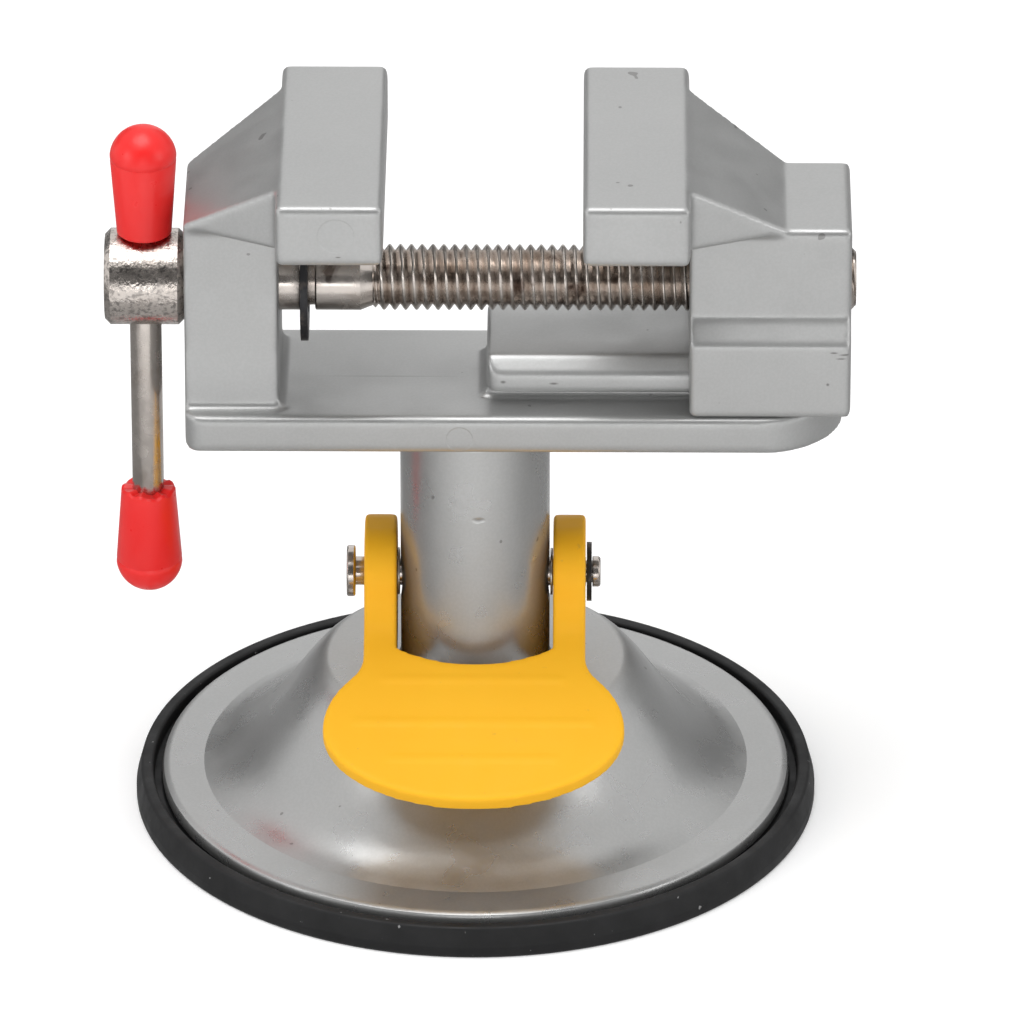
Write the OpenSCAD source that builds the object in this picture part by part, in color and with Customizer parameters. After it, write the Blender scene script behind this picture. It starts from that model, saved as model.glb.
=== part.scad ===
// Small bench vise on a suction base, in millimetres.
// The origin is the centre of the base on the table. +Z is up, +X runs from the handle
// towards the moving jaw, and -Y is the front, where the suction lever is.
// Everything is shown with the suction locked and the jaws part open.

/* [Suction pad] */
// Diameter of the rubber pad on the table
pad_d = 96; // [90:0.5:110]
// Taper of the pad's outer wall, in radius
pad_taper = 0.7; // [0.2:0.1:1.5]
// Height of the rubber lip around the metal rim
pad_lip_h = 4.4; // [3.8:0.1:6]
// Width of that lip
pad_lip_w = 1.7; // [1.2:0.1:2.5]
// Gap between the lip and the metal rim
pad_lip_gap = 1.3; // [0.6:0.1:2]
// Thickness of rubber under the metal rim
pad_seat_h = 3; // [2:0.1:3.6]
// Width of the sealing ring that stays on the table
seal_w = 8; // [6:0.5:9]
// Thickness of the flexible skin
skin_t = 2.2; // [1.4:0.1:2.4]
// Diameter of the pad's thick centre
centre_d = 32; // [28:1:36]
// Thickness of the pad's centre
centre_t = 3; // [2:0.1:4]

/* [Base cover] */
// Thickness of the cover's rim
brim_t = 1.8; // [1.2:0.1:2.4]
// Width of the flat rim outside the dome
brim_w = 5.9; // [4:0.1:8]
// Rise of the rim towards the dome
brim_rise = 0.2; // [0:0.1:0.8]
// Height of the dome's flat shoulder above the table
dome_top_z = 21.4; // [20.6:0.1:22.5]
// Radius at which the flat shoulder starts to round over
dome_top_r = 20.5; // [18.5:0.1:21.5]
// Wall of the cover
cover_wall = 2.2; // [1.6:0.1:2.8]
// Diameter of the column
column_d = 20.9; // [19:0.1:21.2]
// Height of the column's top above the table
column_top_z = 60.1; // [58:0.1:64]
// Radius of the column's rounded top edge
column_round = 1; // [0.4:0.1:1.6]
// Radius of the fillet at the foot of the column
column_fillet = 0.4; // [0.2:0.1:0.6]
// Diameter of the guide boss inside the dome
guide_d = 13; // [11:0.5:13.5]
// Length of the guide boss under the dome's top
guide_h = 5; // [3:0.5:7]

/* [Pull rod] */
// Diameter of the rod
rod_d = 8; // [7:0.5:9]
// How far the rod lifts the pad
pad_lift = 2.2; // [1.2:0.1:2.4]
// Rod above the lever pin's axis
rod_over_pin = 4.6; // [3.5:0.1:6]
// Height of the lever pin's axis above the dome's shoulder, locked
pin_above_dome = 13.5; // [12.5:0.1:14.5]
// Diameter of the lever pin
pin_d = 4; // [3.4:0.1:4.4]
// Diameter of the pin's head
pin_head_d = 7.2; // [6:0.1:8]
// Thickness of the pin's head
pin_head_t = 1.2; // [0.8:0.1:1.6]
// Play between the pin's head and the lever
pin_play = 1.3; // [0.5:0.1:2]
// Length of the pin past the lever on the clip's side
pin_tail = 2.1; // [1.8:0.1:3]
// Outer diameter of the pin's clip
pin_clip_d = 8.3; // [7:0.1:9]
// Diameter of the clip groove in the pin
pin_groove_d = 3.1; // [2.6:0.1:3.2]
// Thickness of the pin's clip
pin_clip_t = 0.8; // [0.5:0.05:1]
// Diameter of the steel plate in the pad
insert_d = 26; // [22:0.5:27]
// Thickness of that plate
insert_t = 1.5; // [1:0.1:2]
// Thickness of the spring's seat washer
seat_t = 0.8; // [0.5:0.1:1.2]
// Mean diameter of the return spring
spring_d = 16.6; // [16:0.1:18]
// Wire diameter of the spring
spring_wire = 1.4; // [1:0.1:1.6]
// Turns of the spring
spring_turns = 5; // [4:1:6]

/* [Lever] */
// Gap between the lever's arms
lever_gap = 21.9; // [21.8:0.1:23]
// Thickness of each arm
arm_t = 4.55; // [3.6:0.05:5]
// Angle of the paddle below level, locked
lever_drop = 21; // [19:0.5:23]
// How far the lever lifts to let go
lever_swing = 55; // [45:1:58]
// Depth of the paddle's top under the pin's axis, square to the paddle
paddle_sink = 1; // [0:0.1:1.6]
// Thickness of the paddle
paddle_t = 2.4; // [2:0.1:3.4]
// Radius of the arms' round ends
arm_end_r = 7; // [6:0.1:8]
// Radius of the hollow curve from the arms' ends into the paddle
arm_neck_r = 6; // [4:0.5:8]
// Distance from the pin to the paddle's widest place
paddle_u = 27.6; // [26:0.1:28]
// Width of the paddle
paddle_w = 42; // [38:0.2:44]
// From the widest place to the paddle's tip
paddle_tip = 13.2; // [11:0.1:13.5]
// From the widest place to the top of the paddle's curve
paddle_root = 15.5; // [14:0.1:17]
// Distance from the pin to the middle of the notch
notch_u = 16; // [15.6:0.1:17]
// Depth of the notch's curve
notch_sag = 2.9; // [2:0.1:3.2]
// Radius of the hollow corner where each arm runs into the paddle
arm_root_r = 6; // [3:0.5:8]
// Height of the three finger ridges on the paddle
ridge_h = 0.15; // [0.1:0.05:0.4]

/* [Vise body] */
// Gap between the column and the bed, filled by the swivel washer
swivel_washer_t = 0.55; // [0.4:0.05:0.8]
// Thickness of the bed
bed_t = 5.5; // [4.5:0.1:7]
// Width of the bed
bed_w = 27.6; // [26:0.2:30]
// From the column's axis to the bed's end at the handle
bed_left = 40; // [39:0.5:42]
// From the column's axis to the bed's far end
bed_right = 51.2; // [48:0.2:54]
// Corner radius at the handle's end
bed_corner_left = 2.6; // [1.5:0.1:4]
// Corner radius at the far end
bed_corner_right = 12; // [8:0.5:13]
// Diameter of the swivel spigot under the bed
spigot_d = 15; // [13:0.5:15.5]
// Length of the spigot
spigot_l = 12; // [10:0.5:13]
// Depth of the spigot's groove
spigot_groove = 0.9; // [0.5:0.1:1.2]
// Height of the screw's axis above the bed
screw_h = 15; // [14.5:0.1:16.5]
// Thickness of the fixed block behind the jaw
block_l = 13; // [12:0.1:14]
// Width of the fixed block at its top
block_w = 19.6; // [18:0.2:20.4]
// Extra width of the block at the bed
block_draft = 1; // [0:0.1:1.4]
// Fillet between the block and the bed
bed_fillet = 1.6; // [0.8:0.1:2]

/* [Jaws] */
// Width of the jaws
jaw_w = 45; // [40:0.5:50]
// Height of the gripping faces
jaw_h = 9; // [8:0.1:12]
// Thickness of each jaw
jaw_t = 14.7; // [13:0.1:15.5]
// Height of the jaws' underside above the bed
jaw_under = 27.8; // [26:0.1:30]
// Opening between the jaws as shown
opening = 27.3; // [24:0.1:29]
// Widest opening
opening_max = 30; // [29:0.1:31]
// Gap left between the closed jaws
closed_gap = 0.3; // [0.1:0.05:0.5]
// Width of the gusset behind each jaw
gusset_w = 32.2; // [28:0.2:36]
// Radius of the jaws' edges
jaw_round = 0.9; // [0.4:0.1:1.4]
// Radius of the bed's and the blocks' edges
cast_round = 0.7; // [0.3:0.1:0.9]

/* [Rail and moving block] */
// From the column's axis to the rail's near end
rail_left = 1.7; // [1:0.1:2.4]
// Width of the rail's flange
flange_w = 20; // [18.5:0.1:20.6]
// Width of the rail's neck
neck_w = 14; // [12:0.1:15]
// Height of the neck
neck_h = 2; // [1.6:0.1:2.6]
// Thickness of the flange's edge
flange_t = 3; // [2.4:0.1:3.4]
// Rise of the flange's sloped shoulder
shoulder_h = 2; // [1.4:0.1:2.4]
// Sliding clearance on the rail
slide_gap = 0.1; // [0.08:0.01:0.2]
// Length of the moving block behind its jaw
saddle_l = 22.3; // [20:0.1:23]
// Length of the gusset on the moving jaw
moving_gusset_l = 13.2; // [11:0.1:15]
// Width of the moving block's upper part
moving_w = 21.8; // [20:0.2:23]
// Width of the saddle's skirts
skirt_w = 27; // [25.6:0.2:28]
// Height of the skirts above the bed
skirt_h = 11.3; // [9.5:0.1:12]
// Rise of the sloped step above the skirts
step_h = 3; // [2:0.1:4]

/* [Screw and handle] */
// Diameter of the screw
screw_d = 9.2; // [8.6:0.1:9.6]
// Length of the screw past the moving block as shown
screw_end = 0.8; // [0.4:0.1:2]
// Plain shank from the block to the thread
shank_l = 12.7; // [11:0.1:13]
// Root diameter of the thread
root_d = 7.4; // [6.8:0.1:7.8]
// Chamfer before the thread
shank_chamfer = 1.5; // [1:0.1:2]
// Diameter of the screw's clip groove
clip_groove_d = 7.8; // [7:0.1:8]
// Distance of the clip from the block
clip_x = 2.9; // [2:0.1:4]
// Thickness of the screw's clip
clip_t = 1.05; // [0.8:0.05:1.3]
// Outer diameter of the screw's clip
clip_d = 17.8; // [15:0.1:18]
// Diameter of the screw's head
head_d = 13.4; // [12:0.1:14.5]
// Length of the screw's head
head_l = 11; // [10:0.1:12.5]
// Chamfer of the head
head_chamfer = 0.8; // [0.4:0.1:1.2]
// Gap between the head and the block
head_gap = 0.2; // [0.1:0.05:0.4]
// Diameter of the handle bar
bar_d = 4.4; // [4:0.1:4.8]
// Length of the handle over its caps
handle_l = 71.9; // [66:0.1:76]
// Length of each cap
cap_l = 16.2; // [14:0.1:18]
// Widest diameter of a cap
cap_d = 9.3; // [8.4:0.1:10]
// Diameter of a cap at its open end
cap_mouth_d = 7.6; // [7:0.1:8.2]
// Depth of the bar in a cap
cap_bore_l = 12; // [9:0.5:13]

/* [Swivel lock] */
// Diameter of the set screw
set_d = 5; // [4:0.5:5]
// Length of the set screw
set_l = 4; // [3.5:0.1:5]
// Depth of the set screw under the column's top
set_depth = 6; // [5.5:0.1:6.5]
// Key socket across its flats
key_af = 2.5; // [2:0.1:2.5]

/* [Hidden] */

$fn = 96;
// Overrun of every cut past its surface
cut = 1;
// How deep joined shapes of one piece reach into each other
bite = 0.2;
// Radial clearance of a turning or sliding fit
fit = 0.05;
// Play of the moving parts that only pass each other
pass = 0.1;
// Steps along a curved outline
curve_steps = 20;
// Steps along a small rounding
round_steps = 5;
// Sides of the spring's wire, and its rings in one turn
wire_sides = 6;
rings_per_turn = 14;

silver = [0.69, 0.695, 0.69];
rubber_black = [0.13, 0.13, 0.14];
lever_yellow = [0.99, 0.75, 0.2];
cap_red = [0.93, 0.22, 0.2];
plated = [0.78, 0.76, 0.74];
spring_steel = [0.1, 0.1, 0.1];

// Suction pad
pad_r = pad_d / 2;
lip_out_r = pad_r - pad_taper;
lip_in_r = lip_out_r - pad_lip_w;
brim_r = lip_in_r - pad_lip_gap;
seal_in_r = pad_r - seal_w;
// Clear height under the raised centre when the suction is off
centre_rest_h = 0.5;
centre_z = centre_rest_h + pad_lift;
skin_z = 0.3;

// Base cover
brim_top_z = pad_seat_h + brim_t;
brim_edge = brim_t / 2;
foot_r = brim_r - brim_w;
foot_z = brim_top_z + brim_rise;
// The dome's curve: how far its two handles lie from the foot, as shares of its width and height
foot_handle_shares = [0.545, 0.134];
shoulder_handle_shares = [0.77, 1];
dome_ceiling_z = dome_top_z - cover_wall;
column_r = column_d / 2;
guide_r = guide_d / 2;

// Pull rod
rod_r = rod_d / 2;
pin_r = pin_d / 2;
pin_z = dome_top_z + pin_above_dome;
insert_z = centre_z + centre_t;
seat_z = insert_z + insert_t;
spring_z = seat_z + seat_t;
// Rim of the seat outside the spring
seat_lip = 1;
seat_r = (spring_d + spring_wire) / 2 + seat_lip;
slot_r = pin_r + pass;

// Lever
arm_in = lever_gap / 2;
arm_out = arm_in + arm_t;
cam_rate = pad_lift / (lever_swing * PI / 180);
cam_h = pin_above_dome - fit;
cam_low_h = cam_h - pad_lift;
washer_gap = arm_in - column_r;
washer_t = washer_gap - fit - pass;
washer_d = pin_d * 1.65;

// Head of the vise
bed_z = column_top_z + fit + swivel_washer_t;
bed_top_z = bed_z + bed_t;
spigot_r = spigot_d / 2;
spigot_bottom_z = bed_z - spigot_l;
screw_z = bed_top_z + screw_h;
jaw_z = bed_top_z + jaw_under;
jaw_top_z = jaw_z + jaw_h;
block_right = -bed_left + block_l;
grip_x = block_right + jaw_t;
moving_grip_x = grip_x + opening;
moving_back_x = moving_grip_x + jaw_t;
moving_end_x = moving_back_x + saddle_l;
set_z = column_top_z - set_depth;
groove_half = set_d / 2 + pass * 2;
rail_top_z = bed_top_z + neck_h + flange_t + shoulder_h;

// Screw and handle
screw_r = screw_d / 2;
head_right = -bed_left - head_gap;
head_left = head_right - head_l;
head_mid = (head_left + head_right) / 2;
bar_r = bar_d / 2;
screw_right = moving_end_x + screw_end;
tenon_r = screw_r * 0.65;
tenon_l = (head_l / 2 - bar_r) * 0.85;
cap_r = cap_d / 2;
handle_top_z = screw_z + head_d / 2 + pass + cap_l;
handle_bottom_z = handle_top_z - handle_l;

// Point of a cubic curve at share t, from p0 to p3 with handles p1 and p2
function curve_at(p0, p1, p2, p3, t) =
    pow(1 - t, 3) * p0 + 3 * t * pow(1 - t, 2) * p1 + 3 * t * t * (1 - t) * p2 + pow(t, 3) * p3;

// Direction of that curve
function curve_dir(p0, p1, p2, p3, t) =
    let(d = pow(1 - t, 2) * (p1 - p0) + 2 * t * (1 - t) * (p2 - p1) + t * t * (p3 - p2)) d / norm(d);

// The dome's skin from its foot to its flat shoulder, moved inwards by d
function dome_curve(d) =
    let(foot = [foot_r, foot_z], size = [dome_top_r - foot_r, dome_top_z - foot_z],
        p1 = foot + [size[0] * foot_handle_shares[0], size[1] * foot_handle_shares[1]],
        p2 = foot + [size[0] * shoulder_handle_shares[0], size[1] * shoulder_handle_shares[1]])
    [for (i = [0 : curve_steps]) let(t = i / curve_steps, a = curve_dir(foot, p1, p2, foot + size, t))
        curve_at(foot, p1, p2, foot + size, t) - d * [a[1], -a[0]]];

// Quarter of a round corner about c, from angle a0 to a1
function corner_arc(c, r, a0, a1) =
    [for (i = [0 : round_steps]) let(a = a0 + (a1 - a0) * i / round_steps) c + r * [cos(a), sin(a)]];

// List of points turned end for end
function reversed(points) = [for (i = [len(points) - 1 : -1 : 0]) points[i]];

// Vector v turned by a degrees
function turned(v, a) = [v[0] * cos(a) - v[1] * sin(a), v[0] * sin(a) + v[1] * cos(a)];

// Corner q between p and n, rounded to radius r
function round_corner(p, q, n, r) = r == 0 ? [q] :
    let(a = (p - q) / norm(p - q), b = (n - q) / norm(n - q), half = acos(a * b) / 2,
        c = q + r / sin(half) * (a + b) / norm(a + b), s = q + r / tan(half) * a - c,
        turn = (180 - 2 * half) * sign(cross(s, q + r / tan(half) * b - c)))
    [for (i = [0 : round_steps]) c + turned(s, turn * i / round_steps)];

// Outline through corners that each give x, y and a radius
function rounded(corners) = let(n = len(corners))
    [for (i = [0 : n - 1]) let(p = corners[(i + n - 1) % n], q = corners[i], m = corners[(i + 1) % n])
        each round_corner([p[0], p[1]], [q[0], q[1]], [m[0], m[1]], q[2])];

// Corners on one side of the middle line, followed by the same on the other side
function both_sides(half) = concat(half, [for (p = reversed(half)) [-p[0], p[1], p[2]]]);

// Rectangle with round corners: low corner, high corner, radius at the low x end, radius at the high x end
module round_plan(low, high, r_low, r_high) {
    translate([low[0] + r_low, low[1]]) square([high[0] - r_high - low[0] - r_low, high[1] - low[1]]);
    translate([low[0], low[1] + r_low]) square([r_low + bite, high[1] - low[1] - 2 * r_low]);
    translate([high[0] - r_high - bite, low[1] + r_high]) square([r_high + bite, high[1] - low[1] - 2 * r_high]);
    for (y = [low[1] + r_low, high[1] - r_low]) translate([low[0] + r_low, y]) circle(r_low);
    for (y = [low[1] + r_high, high[1] - r_high]) translate([high[0] - r_high, y]) circle(r_high);
}

// Outline in y and z, drawn along x from x0 to x1
module along_x(x0, x1) {
    translate([x0, 0, 0]) rotate([90, 0, 90]) linear_extrude(x1 - x0) children();
}

// Outline in x and z, drawn along y from y0 to y1
module along_y(y0, y1) {
    translate([0, y1, 0]) rotate([90, 0, 0]) linear_extrude(y1 - y0) children();
}

// Round bar along x from x0 to x1 at height z
module bar_x(x0, x1, r, z) {
    translate([x0, 0, z]) rotate([0, 90, 0]) cylinder(h = x1 - x0, r = r);
}

// Snap ring with three lugs that reach its groove, open towards +Y
module e_ring(r, groove_r, t) {
    lug = groove_r * 0.7;
    hollow_r = groove_r * 1.28;
    linear_extrude(t) {
        difference() {
            circle(r);
            circle(hollow_r);
            translate([-groove_r, 0]) square([2 * groove_r, r + cut]);
        }
        for (a = [160, 270, 380]) rotate(a) difference() {
            translate([0, -lug / 2]) square([(r + hollow_r) / 2, lug]);
            circle(groove_r + fit);
        }
    }
}

// Base

module base_cover() {
    spigot_bore_r = spigot_r + fit;
    color(silver) difference() {
        union() {
            rotate_extrude() polygon(concat(
                [[brim_r, pad_seat_h], [brim_r, pad_seat_h + brim_edge]],
                [[brim_r - brim_edge / 4, brim_top_z - brim_edge / 4], [brim_r - brim_edge, brim_top_z]],
                dome_curve(0),
                [[column_r + column_fillet, dome_top_z], [column_r, dome_top_z + column_fillet]],
                corner_arc([column_r - column_round, column_top_z - column_round], column_round, 0, 90),
                [[0, column_top_z], [0, dome_ceiling_z]],
                reversed([for (p = dome_curve(cover_wall)) if (p[1] > pad_seat_h) p]),
                [[foot_r, pad_seat_h]]));
            translate([0, 0, dome_ceiling_z - guide_h]) cylinder(h = guide_h + bite, r = guide_r);
        }
        translate([0, 0, spigot_bottom_z - cut]) cylinder(h = column_top_z - spigot_bottom_z + 2 * cut,
            r = spigot_bore_r);
        translate([0, 0, dome_ceiling_z - guide_h - cut])
            cylinder(h = spigot_bottom_z - dome_ceiling_z + guide_h + cut, r = rod_r + fit);
        for (z = [pin_z - pad_lift, pin_z]) bar_x(-column_d, column_d, slot_r, z);
        translate([-column_d, -slot_r, pin_z - pad_lift]) cube([2 * column_d, 2 * slot_r, pad_lift]);
        translate([0, 0, set_z]) rotate([-90, 0, 0]) cylinder(h = column_d, r = set_d / 2 + fit);
    }
}

module suction_pad() {
    color(rubber_black) rotate_extrude() polygon([
        [seal_in_r, 0], [pad_r, 0], [pad_r, pad_seat_h / 2], [lip_out_r, pad_lip_h - pad_lip_w / 3],
        [lip_out_r - pad_lip_w / 3, pad_lip_h], [lip_in_r + pad_lip_w / 4, pad_lip_h],
        [lip_in_r, pad_lip_h - pad_lip_w / 4], [lip_in_r, pad_seat_h - pad_lip_gap / 2],
        [brim_r + pass, pad_seat_h - pad_lip_gap / 2], [brim_r, pad_seat_h],
        [seal_in_r, pad_seat_h]]);
}

// Flexible skin between the sealing ring and the raised centre
module pad_skin() {
    centre_r = centre_d / 2;
    color(rubber_black) rotate_extrude() polygon([
        [seal_in_r, skin_z], [seal_in_r, skin_z + skin_t],
        [centre_r + skin_t, centre_z + skin_t], [centre_r, centre_z + skin_t],
        [centre_r, centre_z], [centre_r + skin_t, centre_z]]);
}

module pad_centre() {
    color(rubber_black) translate([0, 0, centre_z]) cylinder(h = centre_t, d = centre_d);
}

module pad_insert() {
    color(plated) translate([0, 0, insert_z]) cylinder(h = insert_t, d = insert_d);
}

module pull_rod() {
    color(plated) difference() {
        translate([0, 0, seat_z]) cylinder(h = pin_z + rod_over_pin - seat_z, r = rod_r);
        bar_x(-rod_d, rod_d, pin_r, pin_z);
    }
}

module spring_seat() {
    color(plated) translate([0, 0, seat_z]) difference() {
        cylinder(h = seat_t, r = seat_r);
        translate([0, 0, -cut]) cylinder(h = seat_t + 2 * cut, r = rod_r);
    }
}

module return_spring() {
    wire_r = spring_wire / 2;
    low_z = spring_z + wire_r;
    high_z = dome_ceiling_z - wire_r;
    last = spring_turns * rings_per_turn;
    function coil_point(i, k) =
        let(a = 360 * i / rings_per_turn, b = 360 * k / wire_sides, r = spring_d / 2 + wire_r * cos(b))
        [r * cos(a), r * sin(a), low_z + (high_z - low_z) * i / last + wire_r * sin(b)];
    points = [for (i = [0 : last], k = [0 : wire_sides - 1]) coil_point(i, k)];
    sides = [for (i = [0 : last - 1], k = [0 : wire_sides - 1])
        let(a = i * wire_sides + k, b = i * wire_sides + (k + 1) % wire_sides)
        each [[a, b, b + wire_sides], [a, b + wire_sides, a + wire_sides]]];
    start = [for (k = [1 : wire_sides - 2]) [0, k + 1, k]];
    end = [for (k = [1 : wire_sides - 2]) [0, k, k + 1] + last * wire_sides * [1, 1, 1]];
    color(plated) polyhedron(points, concat(sides, start, end));
}

// Lever and its pin

module lever_pin() {
    tail_x = arm_out + pin_tail;
    head_x = -arm_out - pin_play;
    color(plated) difference() {
        union() {
            bar_x(head_x - bite, tail_x, pin_r, pin_z);
            bar_x(head_x - pin_head_t, head_x, pin_head_d / 2, pin_z);
        }
        difference() {
            bar_x(arm_out + pass, arm_out + pass + pin_clip_t, pin_r + cut, pin_z);
            bar_x(arm_out, arm_out + pin_clip_t + 2 * pass, pin_groove_d / 2, pin_z);
        }
    }
}

module pin_clip() {
    color(spring_steel) translate([arm_out + pass + fit, 0, pin_z]) rotate([0, 90, 0])
        e_ring(pin_clip_d / 2, pin_groove_d / 2, pin_clip_t - 2 * fit);
}

// Side -1 is left and 1 is right
module pin_washer(side) {
    color(plated) difference() {
        bar_x(side * (column_r + pass + washer_t / 2) - washer_t / 2,
            side * (column_r + pass + washer_t / 2) + washer_t / 2, washer_d / 2, pin_z);
        bar_x(-arm_out, arm_out, pin_r, pin_z);
    }
}

module pin_washer_left() {
    pin_washer(-1);
}

module pin_washer_right() {
    pin_washer(1);
}

// Distance from the pin to the hub's edge square to angle a, which is counted from straight down to the back
function cam_reach(a) = a <= lever_swing
    ? cam_h - cam_rate * a * PI / 180
    : cam_low_h + (arm_end_r - cam_low_h) * min(1, (a - lever_swing) / (180 - lever_swing));

// How that distance grows per radian
function cam_slope(a) = a <= lever_swing
    ? -cam_rate
    : (a < 180 ? (arm_end_r - cam_low_h) / ((180 - lever_swing) * PI / 180) : 0);

// Point of the hub's edge as y and z from the pin
function cam_point(a) = cam_reach(a) * [sin(a), -cos(a)] + cam_slope(a) * [cos(a), sin(a)];

// Place in y and z from distances along the lever (u) and square to it (v)
function lever_yz(u, v) = [-u * cos(lever_drop) - v * sin(lever_drop), -u * sin(lever_drop) + v * cos(lever_drop)];

module lever_arm(side) {
    x0 = side > 0 ? arm_in : -arm_out;
    cam_step = 5;
    end_u = notch_u + paddle_t;
    // The hollow curve touches the round end and the paddle's top
    neck_v = arm_neck_r - paddle_sink;
    neck_u = sqrt(pow(arm_end_r + arm_neck_r, 2) - neck_v * neck_v);
    neck_a = atan2(neck_v, neck_u);
    round_end = [for (i = [0 : curve_steps]) let(a = 90 + lever_drop + (neck_a - 90 - lever_drop) * i / curve_steps)
        lever_yz(arm_end_r * cos(a), arm_end_r * sin(a))];
    neck = [for (i = [1 : round_steps]) let(a = 180 + neck_a + (90 - neck_a) * i / round_steps)
        lever_yz(neck_u + arm_neck_r * cos(a), neck_v + arm_neck_r * sin(a))];
    translate([0, 0, pin_z]) along_x(x0, x0 + arm_t) polygon(concat(
        [for (a = [0 : cam_step : lever_swing]) cam_point(a)],
        [for (a = [lever_swing + cam_step : cam_step : 180]) cam_point(a)],
        round_end, neck,
        [lever_yz(end_u, -paddle_sink), lever_yz(end_u, -paddle_sink - paddle_t),
            lever_yz(notch_u, -paddle_sink - paddle_t)]));
}

// Half of the paddle's outline at angle a from its tip: u and half width
function paddle_edge(a) = [paddle_u + (a < 90 ? paddle_tip : paddle_root) * cos(a), paddle_w / 2 * sin(a)];

// Centre of a circle of radius r that touches the paddle's edge at angle a from outside
function beside_paddle(a, r) =
    let(n = [paddle_w / 2 * cos(a), paddle_root * sin(a)]) paddle_edge(a) + r * n / norm(n);

// Paddle seen from above, with u along x
module paddle_outline() {
    paddle_points = 24;
    notch_r = (arm_in * arm_in + notch_sag * notch_sag) / (2 * notch_sag);
    // The hollow corner's circle touches the arm's side and the paddle's edge, found by halving the angle
    function root_angle(low, high, tries) = let(mid = (low + high) / 2)
        tries == 0 ? mid :
        (beside_paddle(mid, arm_root_r)[1] > arm_out + arm_root_r
            ? root_angle(mid, high, tries - 1) : root_angle(low, mid, tries - 1));
    root_a = root_angle(90, 180, curve_steps);
    root = beside_paddle(root_a, arm_root_r);
    touch = paddle_edge(root_a) - root;
    turn = atan2(touch[1], touch[0]) + 90;
    half = concat(
        [for (i = [0 : paddle_points]) paddle_edge(root_a * i / paddle_points)],
        [for (i = [1 : round_steps]) root + turned(touch, -turn * i / round_steps)],
        [[notch_u - notch_sag, arm_out]]);
    difference() {
        polygon(concat(half, [for (p = reversed(half)) [p[0], -p[1]]]));
        translate([notch_u - notch_r, 0]) circle(notch_r);
        translate([notch_u - notch_r, -arm_in]) square([notch_r - notch_sag, lever_gap]);
    }
}

module lever() {
    ridge_w = ridge_h * 6;
    ridge_shares = [-0.68, -0.09, 0.4];
    ridge_l_shares = [0.6, 0.8, 0.55];
    color(lever_yellow) difference() {
        union() {
            lever_arm(-1);
            lever_arm(1);
            translate([0, 0, pin_z]) rotate([lever_drop, 0, 0]) rotate(-90) {
                translate([0, 0, -paddle_sink - paddle_t]) linear_extrude(paddle_t) paddle_outline();
                for (i = [0 : len(ridge_shares) - 1]) let(l = paddle_w * ridge_l_shares[i])
                    translate([paddle_u + paddle_tip * ridge_shares[i], -l / 2, -paddle_sink - bite])
                        cube([ridge_w, l, ridge_h + bite]);
            }
        }
        bar_x(-arm_out - cut, arm_out + cut, pin_r + fit, pin_z);
    }
}

module set_screw() {
    // The tip stands in the spigot's groove, clear of its bottom
    tip_y = spigot_r - spigot_groove + pass;
    socket_l = set_l / 2;
    color(spring_steel) translate([0, tip_y, set_z]) rotate([-90, 0, 0]) difference() {
        union() {
            cylinder(h = set_d / 5, r1 = set_d / 3, r2 = set_d / 2);
            translate([0, 0, set_d / 5]) cylinder(h = set_l - set_d / 5, r = set_d / 2);
        }
        translate([0, 0, set_l - socket_l]) cylinder(h = socket_l + cut, r = key_af / sqrt(3), $fn = 6);
    }
}

// Head of the vise

// Block between two corners, with all its edges rounded to r
module soft_block(low, high, r) {
    intersection() {
        along_x(low[0], high[0]) round_plan([low[1], low[2]], [high[1], high[2]], r, r);
        along_y(low[1], high[1]) round_plan([low[0], low[2]], [high[0], high[2]], r, r);
        translate([0, 0, low[2]]) linear_extrude(high[2] - low[2])
            round_plan([low[0], low[1]], [high[0], high[1]], r, r);
    }
}

module jaw(x0, x1) {
    soft_block([x0, -jaw_w / 2, jaw_z], [x1, jaw_w / 2, jaw_top_z], jaw_round);
}

// Gusset behind a jaw: it starts at x_jaw at the jaw's full height and runs out at x_end, where it is end_w wide
module gusset(x_jaw, x_end, end_w) {
    dir = sign(x_end - x_jaw);
    x_in = x_jaw - dir * jaw_round;
    // It fills the rounded corner between the block and the jaw
    low_z = jaw_z - cast_round;
    intersection() {
        along_y(-jaw_w, jaw_w) polygon(rounded([
            [x_in, low_z, 0], [x_in, jaw_top_z, 0], [x_end, jaw_z, cast_round], [x_end, low_z, 0]]));
        translate([0, 0, low_z]) linear_extrude(jaw_top_z - low_z) polygon([
            [x_in, -gusset_w / 2], [x_jaw, -gusset_w / 2], [x_end, -end_w / 2],
            [x_end, end_w / 2], [x_jaw, gusset_w / 2], [x_in, gusset_w / 2]]);
    }
}

// Outline of the rail in y and z, grown by g on every side, its outer corners rounded to r
module rail_outline(g, r) {
    polygon(rounded(both_sides([
        [neck_w / 2 + g, bed_top_z - bite, 0], [neck_w / 2 + g, bed_top_z + neck_h - g, 0],
        [flange_w / 2 + g, bed_top_z + neck_h - g, r], [flange_w / 2 + g, bed_top_z + neck_h + flange_t + g / 2, r],
        [flange_w / 2 + g / 2 - shoulder_h, rail_top_z + g, r]])));
}

// Hollow fillet along y where a wall at x meets the bed's top, on the side dir
module foot_fillet(x, dir, width) {
    along_y(-width / 2, width / 2) difference() {
        translate([dir > 0 ? x - bite : x - bed_fillet, bed_top_z - bite])
            square([bed_fillet + bite, bed_fillet + bite]);
        translate([x + dir * bed_fillet, bed_top_z + bed_fillet]) circle(bed_fillet);
    }
}

module bed() {
    intersection() {
        soft_block([-bed_left, -bed_w / 2, bed_z], [bed_right, bed_w / 2, bed_top_z], cast_round);
        translate([0, 0, bed_z]) linear_extrude(bed_t)
            round_plan([-bed_left, -bed_w / 2], [bed_right, bed_w / 2], bed_corner_left, bed_corner_right);
    }
}

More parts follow.
